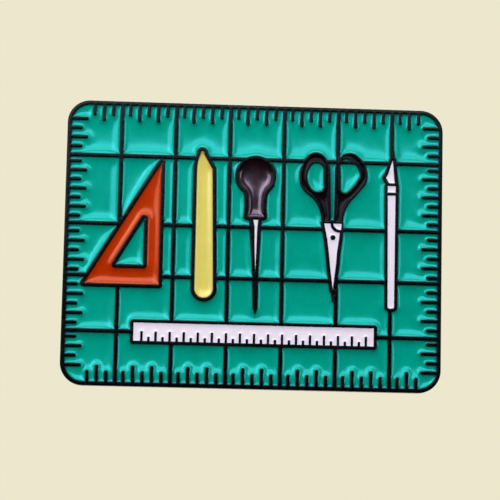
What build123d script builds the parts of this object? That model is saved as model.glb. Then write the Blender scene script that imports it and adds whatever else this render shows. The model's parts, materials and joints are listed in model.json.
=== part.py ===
from build123d import *
import os

# Soft enamel lapel pin: a die-struck plate showing a green cutting mat with craft tools on it,
# held to cloth by two posts with butterfly clutches.
# The plate stands upright as it is worn: +X right and +Z up as seen from the front, the front
# faces -Y, and the origin is the centre of the flat back face. Lengths are millimetres.

# Plate
PLATE_W = 45.0
PLATE_H = 34.0
PLATE_T = 1.5
CORNER_R = 2.7
EDGE_ROUND = 0.18
RIM_W = 0.52
POCKET_DEPTH = 0.6
ENAMEL_T = 0.45
LINE_W = 0.45
TICK_W = 0.38
OUTLINE_W = 0.43
THIN_OUTLINE_W = 0.38
BACK_BLADE_OUTLINE_W = 0.2
HANDLE_METAL_W = 0.27
PIVOT_R = 0.31

# Mat grid: six upright lines at one pitch, and four level lines
GRID_X0 = -16.0
GRID_PITCH = 6.47
GRID_COLUMNS = 6
GRID_Z = (10.4, 2.24, -3.94, -10.52)

# Mat scale: five ticks to a column, and the given first, last and number of ticks in each row
SHORT_TICK = 1.3
LONG_TICK = 1.95
TICKS_PER_COLUMN = 5
COLUMN_TICK_START = 0.95
COLUMN_TICK_PITCH = 1.115
LAST_TICK_X = 19.8
ROW_TICKS = (
    (14.77, 11.45, 4, True),
    (9.66, 3.12, 7, False),
    (1.27, -3.27, 5, False),
    (-5.05, -9.59, 5, False),
    (-11.23, -14.59, 4, False),
)

# Ruler
RULER_X0 = -13.98
RULER_W = 28.43
RULER_Z0 = -11.6
RULER_H = 2.14
RULER_FIRST_TICK = 0.96
RULER_PITCH = 1.659
RULER_LONG_TICKS = 17
RULER_LONG = 1.15
RULER_SHORT = 0.5
RULER_TICK_W = 0.3

# Posts
POST_SPACING = 24.0
POST_R = 0.55
POST_LENGTH = 7.5
POINT_LENGTH = 1.3
POINT_R = 0.12
NOTCH_DEPTH = 0.12
NOTCH_HALF = 0.3
NOTCHES_Y = (2.2, 5.25)
PAD_R = 2.5
PAD_T = 0.35
SEAT_DEPTH = 0.12
SOLDER_R = 3.0
SOLDER_H = 0.2

# Butterfly clutch: heights are measured from the back face of the plate
CLUTCH_Y = 2.15
SHEET = 0.3
DISC_R = 5.7
ROLL_R = 0.35
HUB_R = 3.5
HUB_TOP_Y = 4.7
EYELET_BORE_R = 0.6
EYELET_R = 0.95
EYELET_GAP = 0.05
CAP_R = 3.9
CAP_TOP_Y = 7.9
CAP_SHOULDER_Y = 6.8
SLOT_HALF_W = 1.75
SLOT_BOTTOM_Y = 4.85
SLOT_TOP_Y = 5.66
LEAF_T = 0.25
LEAF_Y = 4.98
LEAF_STEP = 0.3
LEAF_HALF_W = 1.6
LEAF_END = 1.5
JAW_R = 0.6
JAW_OFFSET = -0.02
SQUEEZE = 0.6
JAW_SPARE = 0.05
WING_START = 4.25
WING_BEND_R = 1.5
WING_TURN = 75.0
WING_RISE = 1.6
WING_HALF_W = 2.2
WING_CORNER_R = 1.3
LUG_X = 3.05
LUG_T = 0.25
LUG_HALF_W = 0.7
LUG_TOP_Y = 6.3
SPRING_R = 2.8
SPRING_WIRE_R = 0.18
SPRING_Y = 5.95
SPRING_OPENING = 40.0

os.makedirs("parts", exist_ok=True)


def save(solid, name):
    """Label a finished sub-part and write it to its own file."""
    solid.label = name
    export_step(solid, f"parts/{name}.step")


# ---------------------------------------------------------------- drawing of the front
# The drawing lies on the local XY plane, local y being the height Z on the finished plate.


def grown(drawing, amount):
    """The outline of a drawn shape, grown by the given amount with round corners."""
    with BuildSketch() as outline:
        add(drawing)
        offset(amount=amount, kind=Kind.ARC)
    return outline.sketch


def arc_chain(*points):
    """Arcs joined end to end, each given by its start, a point on its way and its end."""
    for start, middle, end in zip(points[::2], points[1::2], points[2::2]):
        ThreePointArc(start, middle, end)


# Set square, a frame round a three-cornered window
with BuildSketch() as window:
    Polygon((-13.07, 2.95), (-13.07, -2.58), (-16.33, -2.58), align=None)

with BuildSketch() as set_square_outer:
    Polygon((-11.17, 9.7), (-11.17, -4.9), (-19.99, -4.9), align=None)

with BuildSketch() as set_square:
    add(set_square_outer.sketch)
    add(grown(window.sketch, OUTLINE_W), mode=Mode.SUBTRACT)

# Bone folder, a slat with a round foot and a point off to one side
with BuildSketch() as bone_folder:
    with BuildLine():
        foot_left = (-6.96, -5.2)
        foot_right = (-4.72, -5.2)
        tip_left = (-6.56, 10.96)
        tip_right = (-6.15, 10.96)
        ThreePointArc(foot_right, (-5.84, -6.33), foot_left)
        Line(foot_left, (-6.96, 8.6))
        arc_chain((-6.96, 8.6), (-6.87, 9.9), tip_left, (-6.36, 11.27), tip_right)
        Polyline(tip_right, (-5.09, 9.1), foot_right)
    make_face()

# Awl: a bulb handle on a waisted neck, and a thin needle
with BuildSketch() as awl_handle:
    with Locations((0.07, 8.42)):
        Circle(2.04)
    with BuildLine():
        neck_left = (-0.84, 3.55)
        neck_right = (1.08, 3.55)
        arc_chain((-1.75, 7.5), (-1.0, 6.6), (-0.8, 5.6), (-0.76, 4.5), neck_left)
        Line(neck_left, neck_right)
        arc_chain(neck_right, (1.0, 4.5), (1.04, 5.6), (1.24, 6.6), (1.93, 7.5))
        Line((1.93, 7.5), (-1.75, 7.5))
    make_face()

with BuildSketch() as awl_needle:
    Polygon(
        (-0.12, 3.15), (0.46, 3.15), (0.37, 2.3), (0.33, 0.0), (0.23, -3.0), (0.1, 0.0), (0.06, 2.3),
        align=None,
    )

with BuildSketch() as awl_needle_outline:
    Polygon(
        (-0.63, 3.3), (0.86, 3.3), (0.79, 1.0), (0.62, -2.5), (0.58, -7.4), (0.3, -8.15),
        (0.01, -7.4), (-0.16, -2.5), (-0.46, 1.0),
        align=None,
    )

# Scissors: two handle loops, a front blade over a back blade, and the pivot
HANDLE_END_Z = 2.95
with BuildSketch() as left_loop:
    with BuildLine():
        loop_start = (8.02, HANDLE_END_Z)
        loop_end = (8.97, 9.0)
        arc_chain(
            loop_start, (7.83, 4.45), (7.31, 5.5), (6.82, 6.02), (6.3, 6.45), (5.62, 7.15),
            (5.33, 8.2), (5.5, 9.75), (6.1, 10.85), (7.2, 11.5), (8.25, 11.05), (8.8, 10.1), loop_end,
        )
        Polyline(loop_end, (9.15, HANDLE_END_Z), loop_start)
    make_face()

with BuildSketch() as left_hole:
    with BuildLine():
        hole_start = (8.2, 9.6)
        arc_chain(
            hole_start, (7.35, 10.22), (6.5, 9.6), (6.22, 8.4), (6.6, 7.3), (7.3, 6.78), (8.0, 6.85),
        )
        Polyline((8.0, 6.85), (8.25, 7.3), hole_start)
    make_face()

with BuildSketch() as right_loop:
    with BuildLine():
        loop_start = (9.53, 9.0)
        loop_end = (10.58, HANDLE_END_Z)
        arc_chain(
            loop_start, (9.75, 10.35), (10.35, 11.2), (11.3, 11.55), (12.3, 11.15), (13.15, 10.1),
            (13.46, 8.8), (13.3, 8.0), (12.9, 7.35), (12.2, 6.5), (11.5, 5.72), (10.85, 4.6), loop_end,
        )
        Polyline(loop_end, (9.5, HANDLE_END_Z), loop_start)
    make_face()

with BuildSketch() as right_hole:
    with BuildLine():
        hole_start = (10.2, 10.0)
        arc_chain(
            hole_start, (10.4, 10.6), (11.0, 10.78), (11.85, 10.3), (12.4, 9.55), (12.57, 9.0),
            (12.4, 8.4), (11.85, 7.55), (11.25, 6.92), (10.75, 6.68), (10.27, 7.0),
        )
        Line((10.27, 7.0), hole_start)
    make_face()

with BuildSketch() as front_blade_outer:
    with BuildLine():
        heel = (10.22, 1.87)
        Polyline((8.36, HANDLE_END_Z), (9.1, HANDLE_END_Z), (9.15, 2.6))
        ThreePointArc((9.15, 2.6), (9.5, 2.1), heel)
        Polyline(
            heel, (10.13, 1.0), (9.92, -0.5), (9.86, -1.6), (9.5, -4.95), (9.17, -2.5),
            (8.97, -0.6), (8.76, 1.0), (8.36, HANDLE_END_Z),
        )
    make_face()

with BuildSketch() as front_blade:
    add(front_blade_outer.sketch)
    with Locations((9.42, 1.27)):
        Circle(PIVOT_R, mode=Mode.SUBTRACT)

with BuildSketch() as back_blade:
    with BuildLine():
        heel_right = (10.38, 2.2)
        heel_left = (9.5, 2.72)
        Polyline(heel_left, (9.45, HANDLE_END_Z), (10.43, HANDLE_END_Z), heel_right)
        ThreePointArc(heel_right, (9.82, 2.36), heel_left)
    make_face()

with BuildSketch() as scissors_outline:
    add(left_loop.sketch)
    add(right_loop.sketch)
    add(grown(front_blade_outer.sketch, OUTLINE_W))
    add(grown(back_blade.sketch, BACK_BLADE_OUTLINE_W))
    Polygon((9.05, -3.0), (9.98, -3.0), (9.55, -6.4), (9.4, -6.4), align=None)
    Polygon((8.9, 3.4), (9.7, 3.4), (9.9, 2.0), (8.8, 2.0), align=None)

# Craft knife: blade, collar and handle
with BuildSketch() as knife_blade:
    Polygon(
        (16.46, 10.8), (16.56, 10.0), (16.63, 9.0), (16.75, 8.03), (16.07, 8.03), (15.9, 8.3),
        (15.69, 8.7), (15.93, 9.05), (16.21, 10.0),
        align=None,
    )

with BuildSketch() as knife_collar:
    Polygon((15.92, 7.67), (16.87, 7.67), (16.87, 6.9), (15.92, 6.9), align=None)

with BuildSketch() as knife_handle:
    Polygon((15.93, 6.52), (16.85, 6.52), (16.83, -7.03), (16.06, -7.03), align=None)
    fillet(knife_handle.vertices().group_by(Axis.Y)[0], 0.2)

with BuildSketch() as knife_outline:
    add(grown(knife_blade.sketch, OUTLINE_W))
    add(grown(knife_collar.sketch, THIN_OUTLINE_W))
    add(grown(knife_handle.sketch, THIN_OUTLINE_W))
    Polygon((16.15, 10.9), (16.22, 11.95), (16.62, 11.95), (16.76, 10.9), align=None)

# Ruler, with raised ticks standing on its lower edge
with BuildSketch() as ruler_blank:
    with Locations((RULER_X0, RULER_Z0)):
        Rectangle(RULER_W, RULER_H, align=(Align.MIN, Align.MIN))

with BuildSketch() as ruler:
    add(ruler_blank.sketch)
    for n in range(2 * RULER_LONG_TICKS - 1):
        tick_x = RULER_X0 + RULER_FIRST_TICK + n * RULER_PITCH / 2
        tick_h = RULER_SHORT if n % 2 else RULER_LONG
        with Locations((tick_x, RULER_Z0)):
            Rectangle(RULER_TICK_W, tick_h, align=(Align.CENTER, Align.MIN), mode=Mode.SUBTRACT)

# Mat: the field inside the rim, less its lines, its scale and the tools lying on it
FIELD_W = PLATE_W - 2 * RIM_W
FIELD_H = PLATE_H - 2 * RIM_W


def upright_ticks():
    """Each tick of the top and bottom scales, as its x and its length."""
    for column in range(-1, GRID_COLUMNS):
        for n in range(TICKS_PER_COLUMN):
            x = GRID_X0 + column * GRID_PITCH + COLUMN_TICK_START + n * COLUMN_TICK_PITCH
            if abs(x) < LAST_TICK_X:
                yield x, LONG_TICK if n % 2 else SHORT_TICK


def level_ticks():
    """Each tick of the left and right scales, as its z and its length."""
    for first, last, count, long_first in ROW_TICKS:
        for n in range(count):
            is_long = (n % 2 == 0) == long_first
            yield first + n * (last - first) / (count - 1), LONG_TICK if is_long else SHORT_TICK


def cut_tick(x, z, length, rotation):
    """Cut a round-ended tick of the given length, centred on the field's edge."""
    with Locations((x, z)):
        SlotOverall(2 * length, TICK_W, rotation=rotation, mode=Mode.SUBTRACT)


def cut_level_line(z):
    """Cut one level grid line right across the field."""
    with Locations((0, z)):
        Rectangle(PLATE_W, LINE_W, mode=Mode.SUBTRACT)


with BuildSketch() as mat:
    RectangleRounded(FIELD_W, FIELD_H, CORNER_R - RIM_W)
    for line_z in GRID_Z:
        cut_level_line(line_z)
    for column in range(GRID_COLUMNS):
        with Locations((GRID_X0 + column * GRID_PITCH, 0)):
            Rectangle(LINE_W, PLATE_H, mode=Mode.SUBTRACT)
    for tick_x, tick_length in upright_ticks():
        cut_tick(tick_x, FIELD_H / 2, tick_length, 90)
        cut_tick(tick_x, -FIELD_H / 2, tick_length, 90)
    for tick_z, tick_length in level_ticks():
        cut_tick(FIELD_W / 2, tick_z, tick_length, 0)
        cut_tick(-FIELD_W / 2, tick_z, tick_length, 0)
    for outline in (
        grown(set_square_outer.sketch, OUTLINE_W),
        grown(bone_folder.sketch, OUTLINE_W),
        grown(awl_handle.sketch, OUTLINE_W),
        awl_needle_outline.sketch,
        scissors_outline.sketch,
        knife_outline.sketch,
        grown(ruler_blank.sketch, THIN_OUTLINE_W),
    ):
        add(outline, mode=Mode.SUBTRACT)

# Black bands of the scissor handles, inside their metal outlines
with BuildSketch() as left_handle:
    add(grown(left_loop.sketch, -HANDLE_METAL_W))
    add(grown(left_hole.sketch, HANDLE_METAL_W), mode=Mode.SUBTRACT)

with BuildSketch() as right_handle:
    add(grown(right_loop.sketch, -HANDLE_METAL_W))
    add(grown(right_hole.sketch, HANDLE_METAL_W), mode=Mode.SUBTRACT)

# The mat shows through the finger holes, with its top grid line running across them
with BuildSketch() as finger_holes:
    add(left_hole.sketch)
    add(right_hole.sketch)
    cut_level_line(GRID_Z[0])

# ---------------------------------------------------------------- enamel fills
POCKET_FLOOR = PLATE_T - POCKET_DEPTH


def fill(name, faces):
    """One enamel fill: the drawn faces, standing on the pocket floor and sunk below the metal."""
    with BuildPart() as enamel:
        with BuildSketch(Plane.XZ.offset(POCKET_FLOOR)):
            add(faces)
        extrude(amount=ENAMEL_T)
    save(enamel.part, name)


def row_of(face):
    """The row of the mat that a green cell lies in, counted from the top."""
    return sum(face.center().Y < z for z in GRID_Z)


fills = {
    "set_square_window_enamel": window.faces(),
    "finger_holes_enamel": finger_holes.faces(),
    "set_square_enamel": set_square.faces(),
    "bone_folder_enamel": bone_folder.faces(),
    "awl_handle_enamel": awl_handle.faces(),
    "awl_needle_enamel": awl_needle.faces(),
    "scissors_left_handle_enamel": left_handle.faces(),
    "scissors_right_handle_enamel": right_handle.faces(),
    "scissors_front_blade_enamel": front_blade.faces(),
    "scissors_back_blade_enamel": back_blade.faces(),
    "knife_blade_enamel": knife_blade.faces(),
    "knife_collar_enamel": knife_collar.faces(),
    "knife_handle_enamel": knife_handle.faces(),
    "ruler_enamel": ruler.faces(),
}
for row in range(len(GRID_Z) + 1):
    fills[f"mat_row_{row + 1}_enamel"] = [cell for cell in mat.faces() if row_of(cell) == row]
for name, faces in fills.items():
    fill(name, faces)

# ---------------------------------------------------------------- base plate
POST_X = (-POST_SPACING / 2, POST_SPACING / 2)

with BuildPart() as base_plate:
    with BuildSketch(Plane.XZ):
        RectangleRounded(PLATE_W, PLATE_H, CORNER_R)
    extrude(amount=PLATE_T)
    fillet(base_plate.faces().sort_by(Axis.Y)[0].edges(), EDGE_ROUND)
    fillet(base_plate.faces().sort_by(Axis.Y)[-1].edges(), EDGE_ROUND)
    with BuildSketch(Plane.XZ.offset(POCKET_FLOOR)):
        for faces in fills.values():
            add(faces)
    extrude(amount=POCKET_DEPTH, mode=Mode.SUBTRACT)
    with BuildSketch(Plane.XZ):
        with Locations(*[(x, 0) for x in POST_X]):
            Circle(SOLDER_R)
    extrude(amount=SEAT_DEPTH, mode=Mode.SUBTRACT)
save(base_plate.part, "base_plate")

# ---------------------------------------------------------------- posts


def axis_at(x):
    """The axis of the post standing at the given x."""
    return Axis((x, 0, 0), (0, 1, 0))


def turned(x, *profiles):
    """A solid turned about the post at x from closed profiles of (radius, height) points."""
    with BuildPart() as solid:
        with BuildSketch(Plane.XY):
            with Locations((x, 0)):
                for profile in profiles:
                    Polygon(*profile, align=None)
        revolve(axis=axis_at(x))
    return solid.part


def post(x, side):
    """Pad, solder fillet and notched, pointed post."""
    pad_back = PAD_T - SEAT_DEPTH
    with BuildPart() as pad:
        with BuildSketch(Plane.XZ.offset(SEAT_DEPTH)):
            with Locations((x, 0)):
                Circle(PAD_R)
        extrude(amount=-PAD_T)
        fillet(pad.edges().filter_by(GeomType.CIRCLE).sort_by(Axis.Y)[-1], PAD_T / 3)
    save(pad.part, f"{side}_post_pad")

    with BuildPart() as solder:
        with BuildSketch(Plane.XY):
            with BuildLine():
                Polyline(
                    (x + PAD_R, SOLDER_H - SEAT_DEPTH), (x + PAD_R, -SEAT_DEPTH),
                    (x + SOLDER_R, -SEAT_DEPTH), (x + SOLDER_R, -SEAT_DEPTH / 2),
                )
                ThreePointArc(
                    (x + SOLDER_R, -SEAT_DEPTH / 2), (x + PAD_R + 0.17, 0),
                    (x + PAD_R, SOLDER_H - SEAT_DEPTH),
                )
            make_face()
        revolve(axis=axis_at(x))
    save(solder.part, f"{side}_solder_fillet")

    shank = [(0, pad_back), (POST_R, pad_back)]
    for notch_y in NOTCHES_Y:
        shank += [
            (POST_R, notch_y - NOTCH_HALF), (POST_R - NOTCH_DEPTH, notch_y), (POST_R, notch_y + NOTCH_HALF),
        ]
    shank += [(POST_R, POST_LENGTH - POINT_LENGTH), (POINT_R, POST_LENGTH), (0, POST_LENGTH)]
    save(turned(x, shank), f"{side}_post")


# ---------------------------------------------------------------- butterfly clutches


def eyelet(x, side):
    """The round bush on the post: a funnel mouth, and a flange and a lip on either side of the hub."""
    hub_under_y = HUB_TOP_Y - SHEET
    flange_y = hub_under_y - EYELET_GAP
    lip_y = HUB_TOP_Y + EYELET_GAP
    profile = [
        (EYELET_BORE_R, 2.95), (1.3, CLUTCH_Y + 0.05), (1.55, CLUTCH_Y + 0.05), (1.55, 2.35),
        (EYELET_R, 3.05), (EYELET_R, flange_y - 0.3), (1.35, flange_y - 0.3), (1.35, flange_y),
        (EYELET_R, flange_y), (EYELET_R, lip_y), (1.25, lip_y), (1.25, lip_y + 0.14),
        (EYELET_BORE_R, lip_y + 0.14),
    ]
    save(turned(x, profile), f"{side}_clutch_eyelet")


def disc(x, side):
    """The pressed disc: a hub in the middle, a flat flange and a rolled rim."""
    hub_bore = EYELET_R + EYELET_GAP
    top, bottom = HUB_TOP_Y, CLUTCH_Y
    profile = [
        (hub_bore, top - SHEET), (hub_bore, top), (HUB_R, top), (HUB_R, bottom + SHEET),
        (DISC_R - ROLL_R, bottom + SHEET), (DISC_R - ROLL_R, bottom), (HUB_R - SHEET, bottom),
        (HUB_R - SHEET, top - SHEET),
    ]
    with BuildPart() as pressed:
        with BuildSketch(Plane.XY):
            with Locations((x, 0)):
                Polygon(*profile, align=None)
            with Locations((x + DISC_R - ROLL_R, bottom + ROLL_R)):
                Circle(ROLL_R)
        revolve(axis=axis_at(x))
        hub_edges = pressed.edges().filter_by(GeomType.CIRCLE).group_by(Axis.Y)[-1]
        fillet(hub_edges.sort_by(SortBy.RADIUS)[-1], SHEET / 2)
    save(pressed.part, f"{side}_clutch_disc")


def cap(x, side):
    """The thimble over the hub, domed on top, with a slot for a wing on each side."""
    base_y = CLUTCH_Y + SHEET
    inner_r = CAP_R - SHEET
    with BuildPart() as shell:
        with BuildSketch(Plane.XY):
            with BuildLine():
                outer_shoulder = (x + CAP_R, CAP_SHOULDER_Y)
                inner_shoulder = (x + inner_r, CAP_SHOULDER_Y)
                top = (x, CAP_TOP_Y)
                under_top = (x, CAP_TOP_Y - SHEET)
                Polyline(inner_shoulder, (x + inner_r, base_y), (x + CAP_R, base_y), outer_shoulder)
                ThreePointArc(outer_shoulder, (x + 3.25, 7.55), (x + 2.0, CAP_TOP_Y))
                Line((x + 2.0, CAP_TOP_Y), top)
                Line(top, under_top)
                Line(under_top, (x + 1.95, CAP_TOP_Y - SHEET))
                ThreePointArc((x + 1.95, CAP_TOP_Y - SHEET), (x + 3.03, 7.31), inner_shoulder)
            make_face()
        revolve(axis=axis_at(x))
        with BuildSketch(Plane.XY):
            with Locations((x, (SLOT_BOTTOM_Y + SLOT_TOP_Y) / 2)):
                Rectangle(2 * DISC_R, SLOT_TOP_Y - SLOT_BOTTOM_Y)
        extrude(amount=SLOT_HALF_W, both=True, mode=Mode.SUBTRACT)
    save(shell.part, f"{side}_clutch_cap")


def spring(x, side):
    """The C-shaped wire that pushes the two wings apart."""
    start_angle = 90 + SPRING_OPENING / 2
    with BuildPart() as wire:
        with BuildLine(Plane.XZ.offset(-SPRING_Y)) as path:
            CenterArc((x, 0), SPRING_R, start_angle, 360 - SPRING_OPENING)
        with BuildSketch(Plane(path.line @ 0, z_dir=path.line % 0)):
            Circle(SPRING_WIRE_R)
        sweep()
    save(wire.part, f"{side}_clutch_spring")


def wing(x, side, towards, step):
    """A jaw leaf across the post, with its wing bent up outside the cap.

    It is drawn with its wing on the left. towards is -1 to keep it there and +1 to turn it half
    round the post, and step lifts the leaf clear of the other one.
    """
    y = LEAF_Y + step
    with BuildPart() as leaf:
        with BuildSketch(Plane.XZ.offset(-y)):
            Rectangle(WING_START, 2 * LEAF_HALF_W, align=(Align.MAX, Align.CENTER))
            with Locations((LEAF_END - LEAF_HALF_W, 0)):
                Circle(LEAF_HALF_W)
        extrude(amount=-LEAF_T)
        with BuildSketch(Plane.XZ.offset(-y)):
            with Locations((JAW_OFFSET - (SQUEEZE + JAW_SPARE) / 2, 0)):
                SlotCenterToCenter(SQUEEZE + JAW_SPARE, 2 * JAW_R)
        extrude(amount=-LEAF_T, mode=Mode.SUBTRACT)
        with BuildSketch(Plane.YZ.offset(-LUG_X)):
            with Locations(((y + LUG_TOP_Y) / 2, 0)):
                Rectangle(LUG_TOP_Y - y, 2 * LUG_HALF_W)
        extrude(amount=-LUG_T)

    with BuildPart() as bent:
        with BuildSketch(Plane.XY):
            with BuildLine():
                inner = CenterArc((-WING_START, y + WING_BEND_R), WING_BEND_R - LEAF_T, -90, -WING_TURN)
                outer = CenterArc((-WING_START, y + WING_BEND_R), WING_BEND_R, -90, -WING_TURN)
                inner_tip = inner @ 1 + WING_RISE * (inner % 1)
                outer_tip = outer @ 1 + WING_RISE * (outer % 1)
                Polyline(inner @ 1, inner_tip, outer_tip, outer @ 1)
                Line(inner @ 0, outer @ 0)
            make_face()
        extrude(amount=WING_HALF_W, both=True)
        short_edges = bent.edges().filter_by(GeomType.LINE).group_by(SortBy.LENGTH)[0]
        fillet(short_edges.group_by(Axis.Y)[-1], WING_CORNER_R)

    turn = 0 if towards < 0 else 180
    with BuildPart() as wing_part:
        with Locations(Location((x, 0, 0), (0, turn, 0))):
            add(leaf.part)
            add(bent.part)
    save(wing_part.part, f"{side}_clutch_{'left' if towards < 0 else 'right'}_wing")


for post_x, side_name in zip(POST_X, ("left", "right")):
    post(post_x, side_name)
    eyelet(post_x, side_name)
    disc(post_x, side_name)
    cap(post_x, side_name)
    spring(post_x, side_name)
    wing(post_x, side_name, -1, 0)
    wing(post_x, side_name, 1, LEAF_STEP)
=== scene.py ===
"""Looks for the soft enamel pin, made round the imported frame: struck metal with rounded lines, enamel
that creeps up the walls of its cells, and pressed clutches on the back.

Blender works in metres. Outlines and profiles here are worked out in millimetres of the same frame."""

import json
import math

import bmesh
import bpy
import numpy as np
from mathutils import Matrix, Vector, noise
from mathutils.geometry import delaunay_2d_cdt
from mathutils.kdtree import KDTree


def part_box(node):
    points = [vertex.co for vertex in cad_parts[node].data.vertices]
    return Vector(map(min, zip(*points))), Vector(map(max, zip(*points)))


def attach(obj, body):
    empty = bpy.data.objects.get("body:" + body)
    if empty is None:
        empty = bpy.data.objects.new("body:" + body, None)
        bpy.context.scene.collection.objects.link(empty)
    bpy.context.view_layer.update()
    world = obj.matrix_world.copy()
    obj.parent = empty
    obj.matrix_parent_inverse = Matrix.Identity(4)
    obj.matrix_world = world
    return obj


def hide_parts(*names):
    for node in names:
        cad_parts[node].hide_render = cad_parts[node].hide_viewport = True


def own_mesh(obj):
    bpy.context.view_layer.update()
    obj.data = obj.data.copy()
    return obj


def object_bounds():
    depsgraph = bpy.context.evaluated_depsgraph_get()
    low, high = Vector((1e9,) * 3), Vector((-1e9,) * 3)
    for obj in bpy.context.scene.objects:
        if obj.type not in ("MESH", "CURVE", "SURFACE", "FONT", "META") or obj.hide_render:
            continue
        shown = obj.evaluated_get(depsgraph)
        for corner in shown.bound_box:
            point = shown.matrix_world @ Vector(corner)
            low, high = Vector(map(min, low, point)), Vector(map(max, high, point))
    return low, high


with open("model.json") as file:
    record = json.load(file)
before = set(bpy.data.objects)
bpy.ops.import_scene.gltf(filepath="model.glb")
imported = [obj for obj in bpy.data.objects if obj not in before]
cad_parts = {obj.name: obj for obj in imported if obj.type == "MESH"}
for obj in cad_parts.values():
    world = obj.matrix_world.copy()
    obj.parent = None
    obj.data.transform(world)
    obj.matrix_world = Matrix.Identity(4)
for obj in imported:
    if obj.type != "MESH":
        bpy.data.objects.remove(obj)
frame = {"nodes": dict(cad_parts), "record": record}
CAD_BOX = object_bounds()
NODES = frame["nodes"]
SLOTS = {part["node"]: part["material_slot"] for part in frame["record"]["subparts"]}
BODIES = {node: body for body, nodes in frame["record"]["behaviour"]["bodies"].items() for node in nodes}
SIDES = ("left", "right")
MM = 0.001
FRONT_Y, BACK_Y = (corner.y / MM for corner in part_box("base_plate"))

# Enamel and struck lines, in mm
ENAMEL_FALL = (0.42, 0.44)    # depth of the enamel's lowest part below the metal, and how far from a wall
                              # it has fallen by most of that
OTHER_FALLS = {"white_enamel": (0.15, 0.3), "brown_enamel": (0.42, 0.34)}
WALL_SHADE_DEPTH = 0.14             # above this depth the enamel is painted darker: painted shade along the walls, and partly the metal showing where the enamel is thinner
LINE_EDGE_W = 0.1             # the rounding along the edges of the raised lines
LINE_EDGE_DROP = 0.045
ENAMEL_IOR = 1.62
LIP = LINE_EDGE_DROP + 0.012  # depth of the enamel's edge, just under the rounding
BACK_FACING = 0.9             # faces turned back this much, and within this reach of the back, are sanded
BACK_REACH = 0.2

# Mesh density, in mm
OUTLINE_STEP = 0.2
LINE_ROWS = (0.02, 0.055, 0.1)
ENAMEL_ROWS = (0.06, 0.14, 0.26, 0.42, 0.62, 0.86)
ENAMEL_PITCH = 0.42
ROW_CROWDING = 0.92           # a row's point is dropped where an outline comes nearer than this share
WELD = 0.0002
SOLVER_ROUNDS = 400
SOLVER_ERROR = 1e-10
SMOOTH_ANGLE = math.radians(35)
FLAT_ANGLE = math.radians(1)
ROUND_SIDES = 96
EASE_STEPS = 3
EASE_SHARE = 0.45             # the most of a side that the rounding of one corner takes
SLOPE_STEPS = 8
WIRE_SIDES = 20
WIRE_RINGS = 121
WIRE_END_RINGS = 6

# Posts and clutches, in mm
CORNER_EASE = 0.05
PAD_EASE = 0.16
COLLAR_R = 0.82
COLLAR_H = 0.08
COLLAR_FADE = 0.3             # height at which the collar has narrowed to the post
NOTCH_DEPTH = 0.12
NOTCH_HALF = 0.3
NOTCHES_Y = (2.2, 5.25)
POINT_LENGTH = 1.3
POINT_R = 0.12
SOLDER_LUMP = 0.035
SHEET = 0.3
HUB_EASE = 0.6 * SHEET
ROLL_R = 0.35
ROLL_END = 188                # the angle in degrees at which the rolled rim's edge shows
HUB_R = 3.5
HUB_BORE_R = 1.0
BUSH_BORE_R = 0.6
BUSH_R = 0.95
BUSH_FLANGE_R = 1.35
BUSH_FLANGE_T = 0.3
BUSH_LIP_R = 1.25
BUSH_LIP_T = 0.14
BUSH_GAP = 0.05               # between the bush's flange and the hub
FUNNEL_RIM_W = 0.25
FUNNEL_RIM_H = 0.15
FUNNEL_BORE_H = 0.75          # height of the funnel inside, and outside
FUNNEL_H = 0.85
SPRING_R = 2.8
WIRE_R = 0.18
SPRING_OPENING = math.radians(40)


# ---------------------------------------------------------------- flat outlines


def plan(node):
    """A CAD node's corners in millimetres."""
    return np.array([v.co for v in NODES[node].data.vertices]) / MM


def box_mm(node):
    """A node's lowest and highest corners in millimetres."""
    return [np.array(corner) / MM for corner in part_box(node)]


def front_outlines(node):
    """The outlines of a node's flat front face, each an array of x and z with the solid on its left."""
    corners = plan(node)
    front = corners[:, 1].min()
    keys = [tuple(p) for p in np.round(corners[:, [0, 2]], 4)]
    open_edges = set()
    for face in NODES[node].data.polygons:
        if corners[list(face.vertices), 1].max() > front + WELD:
            continue
        ring = [keys[i] for i in face.vertices]
        for edge in zip(ring, ring[1:] + ring[:1]):
            if edge[::-1] in open_edges:
                open_edges.remove(edge[::-1])
            else:
                open_edges.add(edge)
    onward = {}
    for start, end in sorted(open_edges):
        onward.setdefault(start, []).append(end)
    loops = []
    while onward:
        loop = [next(iter(onward))]
        while loop[-1] in onward:
            ends = onward[loop[-1]]
            here = loop[-1]
            loop.append(ends.pop())
            if not ends:
                del onward[here]
        loops.append(np.array(loop[:-1]))
    return loops


def area(loop):
    """The area inside an outline, negative round a hole."""
    x, z = loop.T
    return 0.5 * np.sum(x * np.roll(z, -1) - np.roll(x, -1) * z)


def stepped(loop, step):
    """The outline with points added along its longer sides, at most a step apart."""
    points = []
    for start, end in zip(loop, np.roll(loop, -1, axis=0)):
        count = max(1, math.ceil(np.linalg.norm(end - start) / step))
        points += [start + (end - start) * k / count for k in range(count)]
    return np.array(points)


def leftward(loop):
    """A unit vector at each point of an outline, square to it and into its solid."""
    along = np.roll(loop, -1, axis=0) - loop
    along /= np.linalg.norm(along, axis=1)[:, None]
    both = along + np.roll(along, 1, axis=0)
    both /= np.maximum(np.linalg.norm(both, axis=1), 1e-6)[:, None]
    return np.column_stack([-both[:, 1], both[:, 0]])


def distance_from(loops):
    """A function that gives the distance of a flat point from the nearest of these outlines."""
    points = np.vstack(loops)
    before = np.vstack([np.roll(loop, 1, axis=0) for loop in loops])
    after = np.vstack([np.roll(loop, -1, axis=0) for loop in loops])
    tree = KDTree(len(points))
    for index, point in enumerate(points):
        tree.insert((*point, 0), index)
    tree.balance()

    def distance(point):
        index = tree.find((*point, 0))[1]
        corner = points[index]
        nearest = np.inf
        for end in (before[index], after[index]):
            side = end - corner
            share = np.clip(np.dot(point - corner, side) / np.dot(side, side), 0, 1)
            nearest = min(nearest, np.linalg.norm(corner + side * share - point))
        return nearest

    return distance


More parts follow.
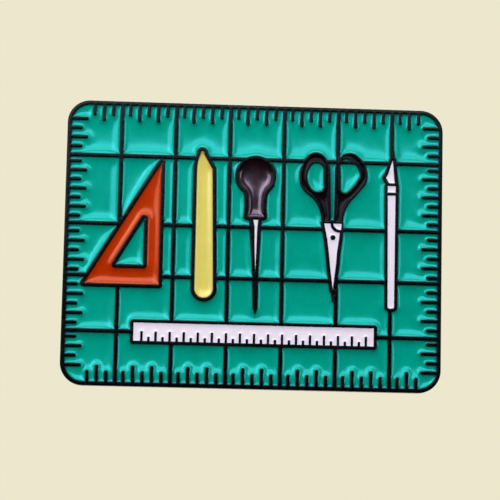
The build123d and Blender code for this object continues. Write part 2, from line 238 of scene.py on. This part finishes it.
def rows_along(loops, offsets, distance):
    """Points in rows that follow the outlines inwards, where nothing else comes nearer."""
    kept = []
    for offset in offsets:
        for loop in loops:
            for point in loop + offset * leftward(loop):
                if distance(point) > ROW_CROWDING * offset:
                    kept.append(point)
    return kept


def grid_inside(loops, pitch, margin, distance):
    """An even grid of points that keeps a margin from the outlines."""
    low = np.vstack(loops).min(axis=0)
    high = np.vstack(loops).max(axis=0)
    return [
        point
        for x in np.arange(low[0], high[0], pitch)
        for z in np.arange(low[1], high[1], pitch)
        if distance(point := np.array((x, z))) > margin
    ]


def triangulated(loops, inner=()):
    """Points and triangles over the area that the outlines bound, and which points are on them."""
    points = np.vstack([*loops, *inner]) if len(inner) else np.vstack(loops)
    sides = []
    first = 0
    for loop in loops:
        ring = list(range(first, first + len(loop)))
        sides += zip(ring, ring[1:] + ring[:1])
        first += len(loop)
    flat = [Vector(point) for point in points]
    made, _, faces, origins, _, _ = delaunay_2d_cdt(flat, sides, [], 0, WELD / 10, True)
    place = {old: new for new, olds in enumerate(origins) for old in olds}
    walls = {(place[a], place[b]) for a, b in sides}
    beside = {}
    for index, face in enumerate(faces):
        for edge in edges_of(face):
            beside[edge] = index
    inside = []
    unseen = set(range(len(faces)))
    while unseen:
        patch = [unseen.pop()]
        is_solid = False
        for index in patch:
            for a, b in edges_of(faces[index]):
                is_solid |= (a, b) in walls
                if (a, b) in walls or (b, a) in walls:
                    continue
                other = beside.get((b, a))
                if other in unseen:
                    unseen.remove(other)
                    patch.append(other)
        if is_solid:
            inside += [faces[index] for index in patch]
    used, packed = np.unique(inside, return_inverse=True)
    renumbered = {old: new for new, old in enumerate(used)}
    on_edge = [renumbered[place[i]] for i in range(first)]
    return np.array(made)[used], packed.reshape(-1, 3), on_edge


def edges_of(face):
    """The directed edges of a triangle."""
    a, b, c = face
    return (a, b), (b, c), (c, a)


# ---------------------------------------------------------------- meshes


class Shell:
    """Gathers the corners and faces of one closed mesh, in millimetres."""

    def __init__(self):
        self.corners = []
        self.faces = []

    def add(self, corners, faces):
        """Add faces over their own list of corners."""
        first = len(self.corners)
        self.corners += [tuple(corner) for corner in corners]
        self.faces += [tuple(first + i for i in face) for face in faces]

    def band(self, *loops):
        """Join loops of the same number of points, each to the next."""
        size = len(loops[0])
        faces = []
        for row in range(0, (len(loops) - 1) * size, size):
            for i in range(size):
                beside = (i + 1) % size
                faces.append((row + i, row + beside, row + size + beside, row + size + i))
        self.add(np.vstack(loops), faces)

    def piece(self, name):
        """The finished mesh as an object, welded, facing outwards and smooth."""
        mesh = bpy.data.meshes.new(name)
        mesh.from_pydata([Vector(c) * MM for c in self.corners], [], self.faces)
        return finished(name, mesh)


def finished(name, mesh):
    """An object with the mesh welded, its faces outwards, smooth except at its sharp edges."""
    bm = bmesh.new()
    bm.from_mesh(mesh)
    bmesh.ops.remove_doubles(bm, verts=bm.verts, dist=WELD * MM)
    bmesh.ops.dissolve_degenerate(bm, edges=bm.edges, dist=WELD * MM / 10)
    bmesh.ops.recalc_face_normals(bm, faces=bm.faces)
    bm.to_mesh(mesh)
    bm.free()
    mesh.shade_smooth()
    mesh.set_sharp_from_angle(angle=SMOOTH_ANGLE)
    item = bpy.data.objects.new(name, mesh)
    bpy.context.scene.collection.objects.link(item)
    return item


def stand_in(item, node, *materials):
    """Show a piece in place of a CAD node, on the node's own body."""
    for material in materials:
        item.data.materials.append(material)
    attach(item, BODIES[node])
    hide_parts(node)
    return item


def at_height(points, y):
    """Flat points at a height y, which may be one number or one for each."""
    return np.column_stack([points[:, 0], np.broadcast_to(y, len(points)), points[:, 1]])


# ---------------------------------------------------------------- enamel


def pull_up(points, triangles, edge_points, reach):
    """How far walls pull a liquid's skin up at each point: 1 at them, falling smoothly with distance.

    It solves (slope of the slope) = height / reach^2 on the triangles, by conjugate gradients."""
    size = len(points)
    starts, ends, weights = [], [], []
    mass = np.zeros(size)
    for k in range(3):
        a, b, c = triangles[:, k], triangles[:, (k + 1) % 3], triangles[:, (k + 2) % 3]
        to_a, to_b = points[a] - points[c], points[b] - points[c]
        doubled = np.abs(to_a[:, 0] * to_b[:, 1] - to_a[:, 1] * to_b[:, 0]) + 1e-12
        starts.append(a)
        ends.append(b)
        weights.append(0.5 * np.sum(to_a * to_b, axis=1) / doubled)
        mass += np.bincount(a, doubled / 6, size)
    start, end, weight = map(np.concatenate, (starts, ends, weights))
    mass /= reach**2
    free = np.ones(size)
    free[edge_points] = 0

    def bend(height):
        flow = weight * (height[start] - height[end])
        return np.bincount(start, flow, size) - np.bincount(end, flow, size) + mass * height

    diagonal = np.bincount(start, weight, size) + np.bincount(end, weight, size) + mass
    height = 1 - free
    residual = -free * bend(height)
    scaled = residual / diagonal
    direction = scaled
    energy = residual @ scaled
    for _ in range(SOLVER_ROUNDS):
        bent = free * bend(direction)
        share = energy / (direction @ bent)
        height = height + share * direction
        residual = residual - share * bent
        scaled = residual / diagonal
        last, energy = energy, residual @ scaled
        if energy < SOLVER_ERROR * size:
            break
        direction = scaled + energy / last * direction
    return np.clip(height, 0, 1)


def enamel_fill(node, material):
    """A node's enamel with a skin that creeps up the metal round it."""
    loops = [stepped(loop, OUTLINE_STEP) for loop in front_outlines(node)]
    distance = distance_from(loops)
    inner = rows_along(loops, ENAMEL_ROWS, distance)
    inner += grid_inside(loops, ENAMEL_PITCH, ENAMEL_ROWS[-1] + ENAMEL_PITCH / 2, distance)
    points, triangles, on_edge = triangulated(loops, inner)
    recess, reach = OTHER_FALLS.get(SLOTS[node], ENAMEL_FALL)
    rise = pull_up(points, triangles, on_edge, reach)
    skin_y = FRONT_Y + LIP + (recess - LIP) * (1 - rise)
    floor_y = plan(node)[:, 1].max()
    shell = Shell()
    shell.add(at_height(points, skin_y), triangles)
    for loop in loops:
        shell.band(at_height(loop, FRONT_Y + LIP), at_height(loop, floor_y))
    floor_points, floor_triangles, _ = triangulated(loops)
    shell.add(at_height(floor_points, floor_y), floor_triangles[:, ::-1])
    return stand_in(shell.piece(node.replace("_enamel", "_fill")), node, material)


# ---------------------------------------------------------------- struck plate


def plate_front(shell, rim, pockets):
    """The lines and the rim's face, rounded over along the pockets."""
    distance = distance_from(pockets)
    inner = rows_along(pockets, LINE_ROWS, distance)
    points, triangles, _ = triangulated([*pockets, rim], inner)
    near = np.array([distance(point) for point in points])
    left = 1 - np.clip((near - WELD) / LINE_EDGE_W, 0, 1)
    shell.add(at_height(points, FRONT_Y + LINE_EDGE_DROP * (1 - np.sqrt(1 - left**2))), triangles)


def plate_pockets(shell, pockets):
    """The walls and floors of the pockets."""
    floor_y = box_mm("mat_row_1_enamel")[1][1]
    for loop in pockets:
        shell.band(at_height(loop, FRONT_Y + LINE_EDGE_DROP), at_height(loop, floor_y))
    points, triangles, _ = triangulated([loop[::-1] for loop in pockets])
    shell.add(at_height(points, floor_y), triangles)


def plate_edge(shell, rim):
    """The plate's side, with both of its edges rounded."""
    edge_round = box_mm("base_plate")[1][0] - rim[:, 0].max()
    outwards = -leftward(rim)
    turns = np.radians(np.arange(0, 91, 15))
    swept = [rim + edge_round * math.sin(turn) * outwards for turn in turns]
    falls = [edge_round * (1 - math.cos(turn)) for turn in turns]
    front_edge = [at_height(loop, FRONT_Y + fall) for loop, fall in zip(swept, falls)]
    back_edge = [at_height(loop, BACK_Y - fall) for loop, fall in zip(swept, falls)]
    shell.band(*front_edge, *back_edge[::-1])


def plate_back(shell, rim):
    """The flat back and the seats for the posts' solder."""
    seats = [seat_outline(side) for side in SIDES]
    seat_y = box_mm("left_solder_fillet")[0][1]
    points, triangles, _ = triangulated([rim, *[seat[::-1] for seat in seats]])
    shell.add(at_height(points, BACK_Y), triangles[:, ::-1])
    for seat in seats:
        shell.band(at_height(seat, BACK_Y), at_height(seat, seat_y))
        shell.add(at_height(seat, seat_y), [tuple(range(len(seat)))])


def struck_plate(dyed, sanded):
    """The whole plate, with its back and its seats sanded."""
    loops = sorted(front_outlines("base_plate"), key=area)
    rim = stepped(loops.pop(), OUTLINE_STEP)
    pockets = [stepped(loop, OUTLINE_STEP) for loop in loops]
    shell = Shell()
    plate_front(shell, rim, pockets)
    plate_pockets(shell, pockets)
    plate_edge(shell, rim)
    plate_back(shell, rim)
    plate = shell.piece("struck_plate")
    stand_in(plate, "base_plate", dyed, sanded)
    for face in plate.data.polygons:
        faces_back = face.normal.y > BACK_FACING
        face.material_index = int(faces_back and face.center.y > (BACK_Y - BACK_REACH) * MM)


def seat_outline(side):
    """The round seat in the back that a post's solder fills."""
    low, high = box_mm(f"{side}_solder_fillet")
    radius = (high[0] - low[0]) / 2
    turns = np.linspace(0, 2 * math.pi, ROUND_SIDES, endpoint=False)
    return np.column_stack([low[0] + radius + radius * np.cos(turns), radius * np.sin(turns)])


# ---------------------------------------------------------------- posts and clutches


def post_x(side):
    """Where a side's post stands."""
    low, high = box_mm(f"{side}_post")
    return (low[0] + high[0]) / 2


def eased(profile, ease=CORNER_EASE, ends=None):
    """The profile with its corners rounded, except those on the axis.

    It is closed, unless the points before its first corner and after its last are given as its ends."""
    corners = np.array(profile, float)
    first, last = ends or (corners[-1], corners[0])
    rounded = []
    for before, corner, after in zip([first, *corners[:-1]], corners, [*corners[1:], last]):
        if corner[0] == 0:
            rounded.append(corner)
            continue
        back, on = before - corner, after - corner
        cut = min(ease, EASE_SHARE * np.linalg.norm(back), EASE_SHARE * np.linalg.norm(on))
        start = corner + cut * back / np.linalg.norm(back)
        end = corner + cut * on / np.linalg.norm(on)
        for t in np.linspace(0, 1, EASE_STEPS + 1):
            rounded.append((1 - t) ** 2 * start + 2 * t * (1 - t) * corner + t**2 * end)
    return rounded


def arc(centre, radius, start, end, steps):
    """Points round an arc of a profile, its angles in degrees."""
    turns = np.radians(np.linspace(start, end, steps + 1))
    return [(centre[0] + radius * math.cos(a), centre[1] + radius * math.sin(a)) for a in turns]


def turned(node, profile, material):
    """A profile of (radius, height) points turned about the node's post."""
    x = post_x(node.split("_")[0])
    turns = np.linspace(0, 2 * math.pi, ROUND_SIDES, endpoint=False)
    rings = [np.column_stack([x + r * np.cos(turns), y + 0 * turns, r * np.sin(turns)]) for r, y in profile]
    if profile[0][0] > 0:
        rings.append(rings[0])
    shell = Shell()
    shell.band(*rings)
    return stand_in(shell.piece(f"fine_{node}"), node, material)


def post_pad(node, material):
    """The round foot of a post, its upper edge rolled over."""
    low, high = box_mm(node)
    pad_r = (high[0] - low[0]) / 2
    foot = [(0, low[1]), (pad_r, low[1]), (pad_r, high[1] - PAD_EASE)]
    edge = arc((pad_r - PAD_EASE, high[1] - PAD_EASE), PAD_EASE, 0, 90, 6)
    turned(node, foot + edge + [(COLLAR_R, high[1]), (0, high[1])], material)


def solder_fillet(node, pad_node, material):
    """The ring of solder that climbs from the plate to the pad's side, a little lumpy."""
    low, high = box_mm(node)
    pad_low, pad_high = box_mm(pad_node)
    inner = (pad_high[0] - pad_low[0]) / 2
    outer = (high[0] - low[0]) / 2
    edge_y = low[1] / 2
    rise = np.linspace(0, 1, SLOPE_STEPS + 1)
    slope = [(outer - (outer - inner) * t, edge_y + (high[1] - edge_y) * t**2) for t in rise]
    ring = turned(node, [(inner, low[1]), (outer, low[1]), *slope], material)
    for corner in ring.data.vertices:
        if corner.co.y > edge_y / 2 * MM:
            corner.co.y += SOLDER_LUMP * MM * noise.noise(corner.co / MM)


def post(node, material):
    """The post: a welded collar at its foot, two sprung notches and a point."""
    low, high = box_mm(node)
    radius = (high[0] - low[0]) / 2
    shank = [
        (0, low[1]), (COLLAR_R, low[1]), (radius + COLLAR_H, low[1] + COLLAR_H),
        (radius, low[1] + COLLAR_FADE),
    ]
    for notch_y in NOTCHES_Y:
        shank += [
            (radius, notch_y - NOTCH_HALF), (radius - NOTCH_DEPTH, notch_y), (radius, notch_y + NOTCH_HALF),
        ]
    shank += [(radius, high[1] - POINT_LENGTH), (POINT_R, high[1]), (0, high[1])]
    turned(node, eased(shank, 2 * CORNER_EASE), material)


def clutch_disc(node, material):
    """The pressed disc: a hub, a flange, and a rim rolled over."""
    low, high = box_mm(node)
    roll = ((high[0] - low[0]) / 2 - ROLL_R, low[1] + ROLL_R)
    flange_y = low[1] + SHEET
    hub = [
        (HUB_R - SHEET, low[1]), (HUB_R - SHEET, high[1] - SHEET), (HUB_BORE_R, high[1] - SHEET),
        (HUB_BORE_R, high[1]), (HUB_R, high[1]), (HUB_R, flange_y),
    ]
    hub = eased(hub, HUB_EASE, ends=((roll[0], low[1]), (roll[0], flange_y)))
    turned(node, hub + arc(roll, ROLL_R, ROLL_END, -90, 24), material)


def clutch_eyelet(node, material):
    """The bush: a funnel mouth towards the plate, and a flange and a lip that hold the hub."""
    low, high = box_mm(node)
    mouth_r = (high[0] - low[0]) / 2
    hub_y = box_mm(node.replace("eyelet", "disc"))[1][1]
    flange_y = hub_y - SHEET - BUSH_GAP
    funnel = [
        (BUSH_BORE_R, low[1] + FUNNEL_BORE_H), (mouth_r - FUNNEL_RIM_W, low[1]), (mouth_r, low[1]),
        (mouth_r, low[1] + FUNNEL_RIM_H), (BUSH_R, low[1] + FUNNEL_H),
    ]
    flange = [
        (BUSH_R, flange_y - BUSH_FLANGE_T), (BUSH_FLANGE_R, flange_y - BUSH_FLANGE_T),
        (BUSH_FLANGE_R, flange_y), (BUSH_R, flange_y),
    ]
    lip = [
        (BUSH_R, high[1] - BUSH_LIP_T), (BUSH_LIP_R, high[1] - BUSH_LIP_T), (BUSH_LIP_R, high[1]),
        (BUSH_BORE_R, high[1]),
    ]
    turned(node, eased(funnel + flange + lip), material)


def refined(node, material):
    """A pressed part: the CAD shape with its sheared edges eased."""
    shape = NODES[node].data
    mesh = bpy.data.meshes.new(node)
    mesh.from_pydata([v.co for v in shape.vertices], [], [tuple(f.vertices) for f in shape.polygons])
    bm = bmesh.new()
    bm.from_mesh(mesh)
    bmesh.ops.remove_doubles(bm, verts=bm.verts, dist=WELD * MM)
    bmesh.ops.recalc_face_normals(bm, faces=bm.faces)
    bmesh.ops.dissolve_limit(bm, angle_limit=FLAT_ANGLE, verts=bm.verts, edges=bm.edges)
    sheared = [edge for edge in bm.edges if edge.is_manifold and edge.calc_face_angle() > SMOOTH_ANGLE]
    bmesh.ops.bevel(bm, geom=sheared, offset=CORNER_EASE * MM, segments=2, profile=0.5, affect="EDGES",
                    clamp_overlap=True)
    bmesh.ops.triangulate(bm, faces=[face for face in bm.faces if len(face.verts) > 4])
    bm.to_mesh(mesh)
    bm.free()
    return stand_in(finished(f"fine_{node}", mesh), node, material)


def clutch_spring(node, side, material):
    """The C-shaped wire, with rounded ends, on a mesh of its own; the real wire narrows as the wings are
    squeezed.
    """
    low, high = box_mm(node)
    x, y = post_x(side), (low[1] + high[1]) / 2
    half_gap = SPRING_OPENING / 2
    around = np.linspace(math.pi / 2 + half_gap, 2.5 * math.pi - half_gap, WIRE_RINGS)
    end = np.linspace(0, math.pi / 2, WIRE_END_RINGS)
    sizes = np.concatenate([np.sin(end), np.ones(len(around)), np.cos(end)])
    past = WIRE_R / SPRING_R
    places = np.concatenate([around[0] - past * np.cos(end), around, around[-1] + past * np.sin(end)])
    sideways = np.array((0, 1, 0))
    rings = []
    for place, size in zip(places, sizes):
        out = np.array((math.cos(place), 0, math.sin(place)))
        middle = np.array((x, y, 0)) + SPRING_R * out
        rings.append([
            middle + WIRE_R * size * (math.cos(a) * out + math.sin(a) * sideways)
            for a in np.linspace(0, 2 * math.pi, WIRE_SIDES, endpoint=False)
        ])
    shell = Shell()
    shell.band(*rings)
    wire = stand_in(shell.piece(f"fine_{node}"), node, material)
    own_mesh(wire)


# ---------------------------------------------------------------- materials


NOISE_ROUGHNESS = 0.55


class Nodes:
    """Adds nodes to a material's or a world's tree."""

    def __init__(self, tree, coordinates):
        self.tree = tree
        self.place = tree.nodes.new("ShaderNodeTexCoord").outputs[coordinates]

    def node(self, kind, *links, **values):
        """A node with its sockets linked in order and its named values set."""
        made = self.tree.nodes.new(kind)
        for key, value in values.items():
            if hasattr(made, key):
                setattr(made, key, value)
            else:
                made.inputs[key.replace("_", " ")].default_value = value
        for socket, link in zip(made.inputs, links):
            if link is not None:
                self.tree.links.new(link, socket)
        return made

    def noise(self, size_mm, detail=3.0):
        """Noise with blotches of about that size."""
        made = self.node("ShaderNodeTexNoise", self.place, Scale=1 / (size_mm * MM), Detail=detail,
                         Roughness=NOISE_ROUGHNESS)
        return made.outputs["Fac"]

    def cells(self, size_mm):
        """Distance from the middle of random cells of about that size."""
        made = self.node("ShaderNodeTexVoronoi", self.place, Scale=1 / (size_mm * MM))
        return made.outputs["Distance"]

    def span(self, value, low, high, to_low, to_high):
        """The value, with low to high mapped onto another range and held at its ends."""
        made = self.node("ShaderNodeMapRange", value, clamp=True)
        for socket, number in zip(list(made.inputs)[1:5], (low, high, to_low, to_high)):
            socket.default_value = number
        return made.outputs["Result"]

    def along(self, *axis):
        """How far the place, or the direction, goes along an axis."""
        made = self.node("ShaderNodeVectorMath", self.place, operation="DOT_PRODUCT")
        made.inputs[1].default_value = axis
        return made.outputs["Value"]

    def blend(self, share, first, second):
        """A colour between two, each a colour or a link."""
        made = self.node("ShaderNodeMix", data_type="RGBA")
        self.tree.links.new(share, made.inputs["Factor"])
        for socket, colour in zip((made.inputs[6], made.inputs[7]), (first, second)):
            if isinstance(colour, tuple):
                socket.default_value = (*colour, 1)
            else:
                self.tree.links.new(colour, socket)
        return made.outputs[2]


class Look(Nodes):
    """A procedural material built round one Principled shader."""

    def __init__(self, name, **settings):
        self.material = bpy.data.materials.new(name)
        self.material.use_nodes = True
        super().__init__(self.material.node_tree, "Object")
        self.shader = self.tree.nodes["Principled BSDF"]
        for socket, value in settings.items():
            self.shader.inputs[socket.replace("_", " ")].default_value = value

    def into(self, socket, link):
        """Link a value to one of the shader's sockets."""
        self.tree.links.new(link, self.shader.inputs[socket])

    def bump(self, *layers):
        """Raise the surface by (height link, millimetres) layers, one over another."""
        normal = None
        for height, rise_mm in layers:
            made = self.node("ShaderNodeBump", Distance=rise_mm * MM, Strength=1.0)
            self.tree.links.new(height, made.inputs["Height"])
            if normal is not None:
                self.tree.links.new(normal, made.inputs["Normal"])
            normal = made.outputs["Normal"]
        self.into("Normal", normal)


def linear(red, green, blue):
    """A display colour of 0 to 255 channels as the linear colour that shaders use."""
    shares = [c / 255 for c in (red, green, blue)]
    return tuple(s / 12.92 if s <= 0.04045 else ((s + 0.055) / 1.055) ** 2.4 for s in shares)


def enamel_look(name, colours, glint, gloss):
    """Baked enamel: a little uneven in its pigment, with fine specks and a soft ripple.

    Up the walls its colour is darkened: partly painted shade along the lines, partly the dark metal showing
    where the enamel is thinner."""
    colour, deep, pale, wall_shade = (linear(*channels) for channels in colours)
    look = Look(name, IOR=ENAMEL_IOR, Specular_IOR_Level=gloss, Specular_Tint=(*glint, 1))
    clouds = look.span(look.noise(2.6, detail=4.0), 0.32, 0.68, 0, 1)
    grain = look.span(look.noise(0.22, detail=2.0), 0.35, 0.7, 0, 1)
    base = look.blend(clouds, deep, colour)
    base = look.blend(look.span(grain, 0.0, 1.0, 0.0, 0.16), base, pale)
    specks = look.span(look.cells(1.7), 0.03, 0.055, 0.5, 0.0)
    base = look.blend(specks, base, pale)
    # Painted shade: near the walls the colour is mixed towards a dark wall colour, partly the metal showing
    # through thinner enamel
    contact, full = (FRONT_Y + LIP) * MM, (FRONT_Y + WALL_SHADE_DEPTH) * MM
    wall_shade_share = look.span(look.along(0, 1, 0), contact, full, 1, 0)
    look.into("Base Color", look.blend(wall_shade_share, base, wall_shade))
    look.into("Roughness", look.span(look.noise(0.9), 0.3, 0.7, 0.13, 0.2))
    look.bump((look.noise(1.5, detail=1.0), 0.01), (look.noise(0.16), 0.0006))
    return look.material


def dyed_metal_look():
    """Polished metal dyed black, with a slow ripple and fine rubbing marks."""
    look = Look("dyed_black_metal", Metallic=0.85, Specular_IOR_Level=0.5)
    clouds = look.span(look.noise(3.5), 0.35, 0.65, 0, 1)
    look.into("Base Color", look.blend(clouds, linear(4, 13, 14), linear(13, 27, 28)))
    look.into("Roughness", look.span(look.noise(0.35, detail=5.0), 0.3, 0.7, 0.17, 0.34))
    look.bump((look.noise(1.1, detail=2.0), 0.006), (look.noise(0.09), 0.0012))
    return look.material


def sanded_back_look():
    """The plate's back: struck with a fine sand grain before it was dyed."""
    look = Look("sanded_black_back", Metallic=0.85, Specular_IOR_Level=0.5)
    clouds = look.span(look.noise(4.0, detail=4.0), 0.35, 0.65, 0, 1)
    look.into("Base Color", look.blend(clouds, linear(28, 28, 32), linear(40, 39, 43)))
    look.into("Roughness", look.span(look.noise(0.5), 0.3, 0.7, 0.28, 0.4))
    grains = look.span(look.cells(0.24), 0.1, 0.6, 1, 0)
    look.bump((grains, 0.016), (look.noise(2.5, detail=1.0), 0.02))
    return look.material


def plated_look(name, bright, dull, rough=(0.12, 0.3), grain_mm=0.002):
    """Plated or bare metal, uneven in tone, with rubbing marks."""
    look = Look(name, Metallic=1.0)
    clouds = look.span(look.noise(2.2, detail=5.0), 0.35, 0.65, 0, 1)
    look.into("Base Color", look.blend(clouds, linear(*dull), linear(*bright)))
    look.into("Roughness", look.span(look.noise(0.5, detail=6.0), 0.3, 0.7, *rough))
    look.bump((look.noise(1.4, detail=2.0), 4 * grain_mm), (look.noise(0.12), grain_mm))
    return look.material


# ---------------------------------------------------------------- the pin

# Each enamel's colour, its deeper patches, its paler ones and its darker colour up the walls (painted
# shade, partly metal showing through thinner enamel), then the tint and the strength of its reflections
ENAMELS = {
    "green_enamel": (((0, 165, 144), (0, 155, 133), (0, 174, 153), (0, 48, 50)), (0.1, 0.8, 1.0), 0.68),
    "orange_enamel": (((192, 54, 3), (179, 43, 1), (201, 69, 12), (96, 14, 8)), (1.0, 0.5, 0.3), 0.44),
    "yellow_enamel": (((229, 215, 106), (221, 205, 94), (233, 222, 138), (128, 104, 60)), (1, 1, 0.8), 0.4),
    "brown_enamel": (((26, 9, 10), (17, 6, 6), (37, 19, 24), (12, 8, 10)), (0.9, 0.7, 1.0), 0.65),
    "black_enamel": (((20, 7, 16), (12, 5, 11), (28, 14, 24), (9, 7, 9)), (0.85, 0.7, 1.0), 0.06),
    "white_enamel": (((250, 240, 254), (243, 232, 250), (253, 248, 255), (236, 225, 246)), (1, 1, 1), 0.4),
}
enamel_looks = {name: enamel_look(name, *settings) for name, settings in ENAMELS.items()}
for node_name, slot_name in SLOTS.items():
    if slot_name in ENAMELS:
        enamel_fill(node_name, enamel_looks[slot_name])
struck_plate(dyed_metal_look(), sanded_back_look())

nickel = plated_look("bright_nickel", (222, 218, 208), (192, 186, 174))
brass = plated_look("eyelet_brass", (208, 170, 96), (166, 126, 64), rough=(0.2, 0.38))
steel = plated_look("post_steel", (196, 196, 194), (156, 156, 156), rough=(0.22, 0.4))
tin = plated_look("dull_solder", (152, 150, 148), (110, 108, 108), rough=(0.34, 0.55), grain_mm=0.006)
drawn_wire = plated_look("drawn_spring_wire", (172, 168, 160), (118, 114, 108), rough=(0.25, 0.42))
for side_name in SIDES:
    post_pad(f"{side_name}_post_pad", steel)
    solder_fillet(f"{side_name}_solder_fillet", f"{side_name}_post_pad", tin)
    post(f"{side_name}_post", steel)
    clutch_eyelet(f"{side_name}_clutch_eyelet", brass)
    clutch_disc(f"{side_name}_clutch_disc", nickel)
    refined(f"{side_name}_clutch_cap", nickel)
    clutch_spring(f"{side_name}_clutch_spring", side_name, drawn_wire)
    for wing in ("left", "right"):
        refined(f"{side_name}_clutch_{wing}_wing", nickel)


# ---------------------------------------------------------------- stage, light and camera

# In metres, degrees and watts
FLOOR_DROP = 0.026
FLOOR_SIZE = 1.4
FELT_EDGE = 0.004
CAMERA_PLACE = Vector((-0.0116, -0.2226, -0.0280))
CAMERA_TILT, CAMERA_PAN, CAMERA_ROLL = (math.radians(a) for a in (-7.08, 2.89, 1.21))
LENS_MM = 135.3
SENSOR_MM = 36.0
CLIP_START = 0.01


def soft_light(name, place, size, power, on_floor=False):
    """A softbox facing the pin, out of the camera's sight. The floor takes its light only if on_floor."""
    lamp = bpy.data.lights.new(name, "AREA")
    lamp.shape = "RECTANGLE"
    lamp.size, lamp.size_y = size
    lamp.energy = power
    item = bpy.data.objects.new(name, lamp)
    item.location = place
    item.rotation_euler = (-Vector(place)).to_track_quat("-Z", "Y").to_euler()
    item.visible_camera = False
    bpy.context.scene.collection.objects.link(item)
    if not on_floor:
        item.light_linking.receiver_collection = all_but_floor


def card_floor():
    """A pale card under the pin.

    In front of the pin it is pale to the camera only, as if black felt lay on it for the reflections."""
    z = CAD_BOX[0][2] - FLOOR_DROP
    half = FLOOR_SIZE / 2
    mesh = bpy.data.meshes.new("floor")
    corners = [(-half, -half, z), (half, -half, z), (half, half, z), (-half, half, z)]
    mesh.from_pydata(corners, [], [(0, 1, 2, 3)])
    look = Look("pale_card_floor", Roughness=0.8, Specular_IOR_Level=0.2)
    card = look.blend(look.noise(9.0), linear(234, 229, 210), linear(239, 234, 216))
    behind = look.span(look.along(0, 1, 0), -FELT_EDGE, FELT_EDGE, 0, 1)
    watched = look.node("ShaderNodeLightPath").outputs["Is Camera Ray"]
    bare = look.node("ShaderNodeMath", watched, behind, operation="MAXIMUM").outputs[0]
    look.into("Base Color", look.blend(bare, linear(12, 12, 12), card))
    mesh.materials.append(look.material)
    floor = bpy.data.objects.new("floor", mesh)
    bpy.context.scene.collection.objects.link(floor)
    return floor


def studio_world():
    """Cream to the camera. To everything else it is dim in front of the pin and bright overhead."""
    world = bpy.data.worlds.new("studio")
    bpy.context.scene.world = world
    world.use_nodes = True
    world.node_tree.nodes.clear()
    sky = Nodes(world.node_tree, "Generated")
    front = sky.span(sky.along(0, -1, 0), 0.5, 0.95, 0.4, 0.03)
    overhead = sky.span(sky.along(0, 0, 1), 0.45, 0.95, 0.0, 0.9)
    strength = sky.node("ShaderNodeMath", front, overhead, operation="ADD").outputs[0]
    lit = sky.node("ShaderNodeBackground", None, strength, Color=(0.97, 0.98, 1.0, 1)).outputs[0]
    seen = sky.node("ShaderNodeBackground", Color=(*linear(237, 231, 205), 1)).outputs[0]
    watched = sky.node("ShaderNodeLightPath").outputs["Is Camera Ray"]
    either = sky.node("ShaderNodeMixShader", watched, lit, seen).outputs[0]
    sky.node("ShaderNodeOutputWorld", either)


def photo_camera():
    """The camera, where it stood for the picture."""
    view = bpy.data.cameras.new("photo_view")
    view.lens = LENS_MM
    view.sensor_width = SENSOR_MM
    view.clip_start = CLIP_START
    camera = bpy.data.objects.new("photo_view", view)
    bpy.context.scene.collection.objects.link(camera)
    tilted = Matrix.Rotation(CAMERA_ROLL, 3, "Y") @ Matrix.Rotation(CAMERA_TILT, 3, "X")
    right, forward, up = tilted @ Matrix.Rotation(CAMERA_PAN, 3, "Z")
    turned_to = Matrix((right, up, -forward)).transposed().to_4x4()
    camera.matrix_world = Matrix.Translation(CAMERA_PLACE) @ turned_to
    bpy.context.scene.camera = camera


# A light that is linked to this collection falls on everything except the floor
all_but_floor = bpy.data.collections.new("all_but_floor")
all_but_floor.objects.link(card_floor())
all_but_floor.collection_objects[0].light_linking.link_state = "EXCLUDE"
soft_light("soft_above", (-0.01, -0.212, 0.128), (0.20, 0.125), 0.275)
soft_light("soft_front", (-0.01, -0.30, 0.105), (0.30, 0.05), 0.07)
soft_light("soft_left", (-0.105, -0.16, 0.075), (0.115, 0.11), 0.15)
soft_light("strip_right", (0.26, -0.17, 0.035), (0.05, 0.12), 0.075)
soft_light("back_above", (0.10, 0.26, 0.24), (0.30, 0.16), 0.9)
soft_light("back_left", (-0.30, 0.22, 0.09), (0.16, 0.20), 0.5)
soft_light("overhead", (0.0, 0.0, 0.9), (0.9, 0.9), 4.0, on_floor=True)
studio_world()
photo_camera()
bpy.context.scene.view_settings.view_transform = "Standard"
